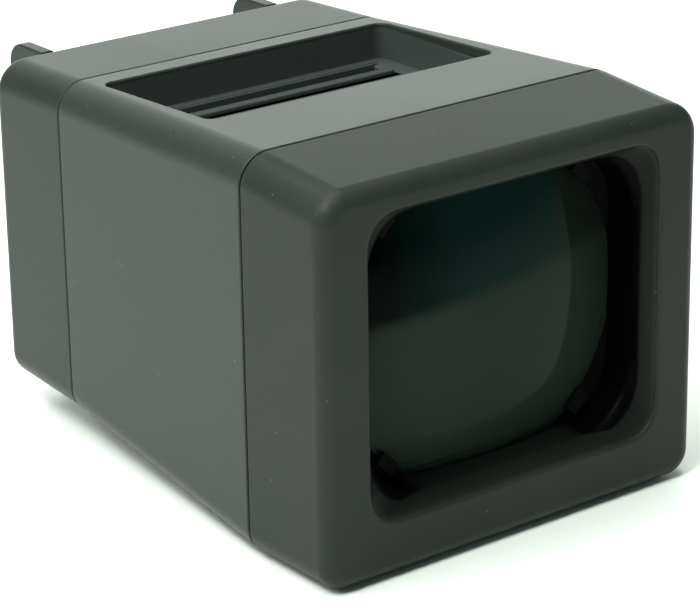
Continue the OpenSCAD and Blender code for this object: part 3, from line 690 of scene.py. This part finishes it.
def make_rear():
    y0 = SEAM2_Y + REAR_GAP / 2
    cover = loft(
        "cover_shell",
        near_end(y0, SEAM_R) + far_end(REAR_Y, REAR_EDGE_R, END_STEPS),
        n=CASE_TURN,
    )
    for x in sides(FIN_X):
        add(cover, prism("fin", fin_outline(), "x", x - FIN_T / 2, x + FIN_T / 2))
    post_top = case_bottom(FOOT_Y) + JOIN
    for x in sides(FOOT_X):
        add(cover, rod("post", (x, FOOT_Y), FOOT_R, PAD_T, post_top, axis="z"))
    cut(cover, loft("hollow", [section_at(y0 - OVER, WALL), section_at(REAR_Y - WALL, WALL)]))
    half = DOOR_W / 2 + DOOR_GAP
    cut(
        cover,
        block(
            "door_opening",
            (-half, REAR_Y - DOOR_CUT, DOOR_Z0 - DOOR_GAP),
            (half, REAR_Y + OVER, DOOR_Z1 + DOOR_GAP),
        ),
    )
    hinge = (HINGE_Y, HINGE_Z)
    for side in (-1, 1):
        near, far = sorted((side * half, side * (half + LUG_T)))
        lug = block(
            "lug",
            (near, HINGE_Y - LUG_FRONT, HINGE_Z - LUG_LOW),
            (far, REAR_Y - LUG_SUNK, HINGE_Z + LUG_HIGH),
        )
        cut(lug, rod("bore", hinge, PIN_R + PIN_FIT, near - OVER, far + OVER, axis="x"))
        add(cover, lug)
    for x in sides(SCREW_X):
        for z in SCREW_ZS:
            add(cover, rod("tube", (x, z), TUBE_R, y0 + TUBE_START, REAR_Y - JOIN))
            cut(cover, rod("hole", (x, z), HEAD_HOLE_R, HEAD_HOLE_Y, REAR_Y + OVER))

    def outside(p):
        """Edges on the rear face, the fins and the foot posts."""
        return p.y > REAR_Y - 0.05 or p.z < case_bottom(p.y) - 0.1

    soften(cover, COVER_BEVEL, outside)
    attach(cover, "case")
    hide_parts("rear_cover")
    return cover


def make_lens():
    """Biconvex lens, round but cut straight at its sides, top and bottom."""
    around, across, tiny = 192, 40, 1e-6
    front_sag = LENS_FRONT_R - math.sqrt(LENS_FRONT_R**2 - (LENS_D / 2) ** 2)
    back_sag = LENS_BACK_R - math.sqrt(LENS_BACK_R**2 - (LENS_D / 2) ** 2)
    bm = bmesh.new()

    def reach(a):
        """Distance from the axis to the outline in direction a."""
        c, s = abs(math.cos(a)), abs(math.sin(a))
        return min(LENS_D / 2, LENS_W / 2 / max(c, tiny), LENS_H / 2 / max(s, tiny))

    def front(r):
        return LENS_Y - front_sag + LENS_FRONT_R - math.sqrt(LENS_FRONT_R**2 - r * r)

    def back(r):
        return LENS_Y + LENS_EDGE + back_sag - LENS_BACK_R + math.sqrt(LENS_BACK_R**2 - r * r)

    def face(depth):
        """One curved face as rings around its pole; returns the outermost ring."""
        pole = bm.verts.new((0, depth(0), AXIS_Z))
        rings = []
        for k in range(1, across + 1):
            ring = []
            for i in range(around):
                a = 2 * math.pi * i / around
                r = reach(a) * k / across
                ring.append(bm.verts.new((r * math.cos(a), depth(r), AXIS_Z + r * math.sin(a))))
            rings.append(ring)
        for i in range(around):
            bm.faces.new((pole, rings[0][i], rings[0][(i + 1) % around]))
        for near, far in zip(rings, rings[1:]):
            for i in range(around):
                j = (i + 1) % around
                bm.faces.new((near[i], far[i], far[j], near[j]))
        return rings[-1]

    rim_front, rim_back = face(front), face(back)
    for i in range(around):
        j = (i + 1) % around
        bm.faces.new((rim_front[i], rim_back[i], rim_back[j], rim_front[j]))
    lens = link("lens_body", bm)
    for poly in lens.data.polygons:
        poly.use_smooth = True
    lens.data.set_sharp_from_angle(angle=LENS_SHARP_ANGLE)
    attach(lens, "case")
    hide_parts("lens")
    return lens


def make_door():
    door = block("door_panel", (-DOOR_W / 2, REAR_Y - WALL, HINGE_Z), (DOOR_W / 2, REAR_Y, DOOR_Z1))
    for side in (-1, 1):
        ends = sorted((side * KNUCKLE_GAP / 2, side * DOOR_W / 2))
        add(door, rod("knuckle", (HINGE_Y, HINGE_Z), KNUCKLE_R, *ends, axis="x"))
    scoop_z = DOOR_Z1 - SCOOP_DROP
    scoop_axis = (REAR_Y + SCOOP_R - SCOOP_DEPTH, scoop_z)
    cut(door, rod("scoop", scoop_axis, SCOOP_R, -SCOOP_HALF, SCOOP_HALF, "x", SCOOP_TURN))

    def at_edge(p):
        """Edges of the outer face above the hinge, but not those of the scoop."""
        margin, scoop_reach = 0.5, 4.5
        at_scoop = abs(p.x) < SCOOP_HALF + margin and abs(p.z - scoop_z) < scoop_reach
        return p.y > REAR_Y - 0.1 and p.z > HINGE_Z + margin and not at_scoop

    soften(door, DOOR_BEVEL, at_edge)
    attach(door, "door")
    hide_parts("battery_door")
    return door


# ---------------------------------------------------------------- stage
FLOOR_HALF, FLOOR_COLOUR, FLOOR_ROUGHNESS = 3.0, (0.93, 0.94, 0.93, 1), 0.6
LIGHT_TONE, MIDDLE = (0.93, 1.0, 0.93), (0, 0, 0.04)
# name, place (m), target (m), size (m), power (W)
LIGHTS = [
    ("top_softbox", (-0.15, 0.15, 1.25), MIDDLE, (1.3, 1.3), 25.0),
    ("key_light", (-0.45, -0.2, 0.66), MIDDLE, (0.22, 0.22), 4.2),
    ("back_softbox", (0.95, 1.5, 0.42), MIDDLE, (2.2, 0.8), 14.5),
    ("left_softbox", (-0.55, 0.15, 0.4), (-0.1, 0.05, 0), (0.35, 0.35), 1.5),
]
PATCH_DIRECTION = (0.55, -0.78, 0.25)
ROOM_TONES = [(0.72, (0.11, 0.12, 0.115)), (0.97, (0.12, 0.25, 0.21))]
AZIMUTH, ELEVATION, ROLL = math.radians(-37.24), math.radians(20.8), math.radians(-0.917)
CAMERA_PLACE, FOCAL_MM, SENSOR_MM = (-321.1, -433.9, 231.4), 155.0, 36.0


def make_stage():
    bm = bmesh.new()
    bmesh.ops.create_grid(bm, x_segments=1, y_segments=1, size=FLOOR_HALF)
    mesh = bpy.data.meshes.new("floor")
    bm.to_mesh(mesh)
    bm.free()
    floor = bpy.data.objects.new("floor", mesh)
    bpy.context.scene.collection.objects.link(floor)

    def build(tree, shader):
        shader.inputs["Base Color"].default_value = FLOOR_COLOUR
        shader.inputs["Roughness"].default_value = FLOOR_ROUGHNESS

    floor.data.materials.append(new_material("pale floor", build))


def area_light(name, place, target, size, power):
    data = bpy.data.lights.new(name, "AREA")
    data.shape = "RECTANGLE"
    data.size, data.size_y = size
    data.energy = power
    data.color = LIGHT_TONE
    lamp = bpy.data.objects.new(name, data)
    bpy.context.scene.collection.objects.link(lamp)
    lamp.location = place
    lamp.visible_camera = False
    lamp.rotation_euler = (Vector(target) - Vector(place)).to_track_quat("-Z", "Y").to_euler()


def make_world():
    """Dim room, with a soft teal patch at the front right that the lens mirrors."""
    world = bpy.data.worlds.new("studio")
    world.use_nodes = True
    tree = world.node_tree
    where = tree.nodes.new("ShaderNodeTexCoord").outputs["Generated"]
    facing = node(tree, "ShaderNodeVectorMath", operation="DOT_PRODUCT")
    facing.inputs[1].default_value = Vector(PATCH_DIRECTION).normalized()
    tree.links.new(where, facing.inputs[0])
    room = tinted(tree, facing.outputs["Value"], ROOM_TONES)
    tree.links.new(room, tree.nodes["Background"].inputs["Color"])
    bpy.context.scene.world = world


def make_lights():
    """Bright low backdrop behind, soft light from above and from the left."""
    for light in LIGHTS:
        area_light(*light)
    make_world()
    bpy.context.scene.view_settings.view_transform = "Standard"


def make_camera():
    """Long lens on the viewer's left, a little above: the top, left side and front show."""
    data = bpy.data.cameras.new("camera")
    data.lens, data.sensor_width = FOCAL_MM, SENSOR_MM
    data.clip_start, data.clip_end = 0.01, 50
    camera = bpy.data.objects.new("camera", data)
    bpy.context.scene.collection.objects.link(camera)
    back = Vector(
        (
            math.sin(AZIMUTH) * math.cos(ELEVATION),
            -math.cos(AZIMUTH) * math.cos(ELEVATION),
            math.sin(ELEVATION),
        )
    )
    right = Vector((0, 0, 1)).cross(back).normalized()
    up = back.cross(right)
    right, up = (
        right * math.cos(ROLL) + up * math.sin(ROLL),
        up * math.cos(ROLL) - right * math.sin(ROLL),
    )
    matrix = Matrix((right, up, back)).transposed().to_4x4()
    matrix.translation = Vector(CAMERA_PLACE) * MM
    camera.matrix_world = matrix
    bpy.context.scene.camera = camera


# ---------------------------------------------------------------- build
make_camera()
make_stage()
make_lights()

# Painted shade darkens the window down its slope to black at the rim; painted light gives the
# recess a lighter tone of its own
WINDOW_PAINTED_SHADE = {
    "low": (-WINDOW_W / 2 - 0.6, FRONT_Y + 0.6, AXIS_Z - WINDOW_H / 2 - 0.6),
    "high": (WINDOW_W / 2 + 0.6, FRONT_Y + 40, AXIS_Z + WINDOW_H / 2 + 0.6),
    "fade": 3.2,
    "steps": [(0.0, 0.0), (0.2, 0.5), (0.72, 0.6), (0.82, 1.0)],
    "colour": (0.0008, 0.001, 0.0009),
    "gloss": 0.03,
}
# Painted light: the recess takes a lighter colour and more gloss than the body round it
RECESS_PAINTED_LIGHT = {
    "low": (-RECESS_W / 2 - 0.5, RECESS_NEAR - 0.5, FLOOR_Z - 3),
    "high": (RECESS_W / 2 + 0.5, RECESS_FAR + 0.5, case_top(RECESS_FAR) - 0.6),
    "fade": 0.4,
    "steps": [(0.0, 0.0), (1.0, 1.0)],
    "colour": (0.044, 0.050, 0.050),
    "gloss": 0.35,
}
# Painted light and shade: one plastic in three tones, the body lightest, the bezel darker, the
# cover and door darkest
bezel_mat = moulded(
    "bezel plastic painted shade",
    (0.019, 0.0225, 0.019),
    (0.024, 0.028, 0.023),
    0.42,
    gloss=0.13,
    painted_light_zone=WINDOW_PAINTED_SHADE,
)
body_mat = moulded(
    "body plastic painted light", (0.021, 0.025, 0.021), (0.027, 0.032, 0.027), 0.40, painted_light_zone=RECESS_PAINTED_LIGHT
)
cover_mat = moulded("cover plastic painted shade", (0.017, 0.020, 0.017), (0.022, 0.026, 0.022), 0.42)

paint(make_bezel(), bezel_mat)
paint(make_middle(), body_mat)
paint(make_rear(), cover_mat)
paint(make_door(), cover_mat)
paint(make_lens(), lens_material())

# Finishes of the nodes that keep their CAD mesh, by material slot
SMALL = {
    # The inner parts are black; their near-zero colour adds painted shade, so the gap round the
    # lens stays black
    "inner_black": plain("inner black with painted shade", (0.002, 0.0024, 0.002), 0.8, grain=0.1, gloss=0.08),
    "carrier_plastic": plain("carrier black", (0.02, 0.021, 0.02), 0.5, grain=0.12),
    "contact_brass": plain("brass", (0.72, 0.5, 0.2), 0.28, metal=1.0),
    "spring_steel": plain("spring steel", (0.55, 0.55, 0.55), 0.25, metal=1.0),
    "switch_board": plain("phenolic sheet", (0.22, 0.11, 0.05), 0.4),
    "opal_plastic": plain("opal plastic", (0.85, 0.85, 0.81), 0.35),
    "white_plastic": plain("white plastic", (0.82, 0.82, 0.8), 0.4),
    "circuit_board": plain("solder mask", (0.02, 0.14, 0.06), 0.3),
    "led_lens": plain("led phosphor", (0.88, 0.72, 0.3), 0.25),
    "resistor_black": plain("resistor glaze", (0.03, 0.03, 0.03), 0.3),
    "cell_wrap": plain("cell sleeve", (0.05, 0.11, 0.23), 0.28, vary=0.03),
    "nickel_steel": plain("nickel plate", (0.68, 0.68, 0.66), 0.22, metal=1.0),
    "screw_steel": plain("zinc plate", (0.45, 0.45, 0.45), 0.35, metal=1.0),
    "foot_rubber": plain("rubber", (0.02, 0.02, 0.02), 0.7, grain=0.3),
    "wire_red": plain("red insulation", (0.45, 0.03, 0.02), 0.35),
    "wire_black": plain("black insulation", (0.02, 0.02, 0.02), 0.35),
    "wire_white": plain("white insulation", (0.75, 0.75, 0.7), 0.35),
}
for part in frame["record"]["subparts"]:
    finish = SMALL.get(part["material_slot"])
    if finish:
        paint(frame["nodes"][part["node"]], finish)
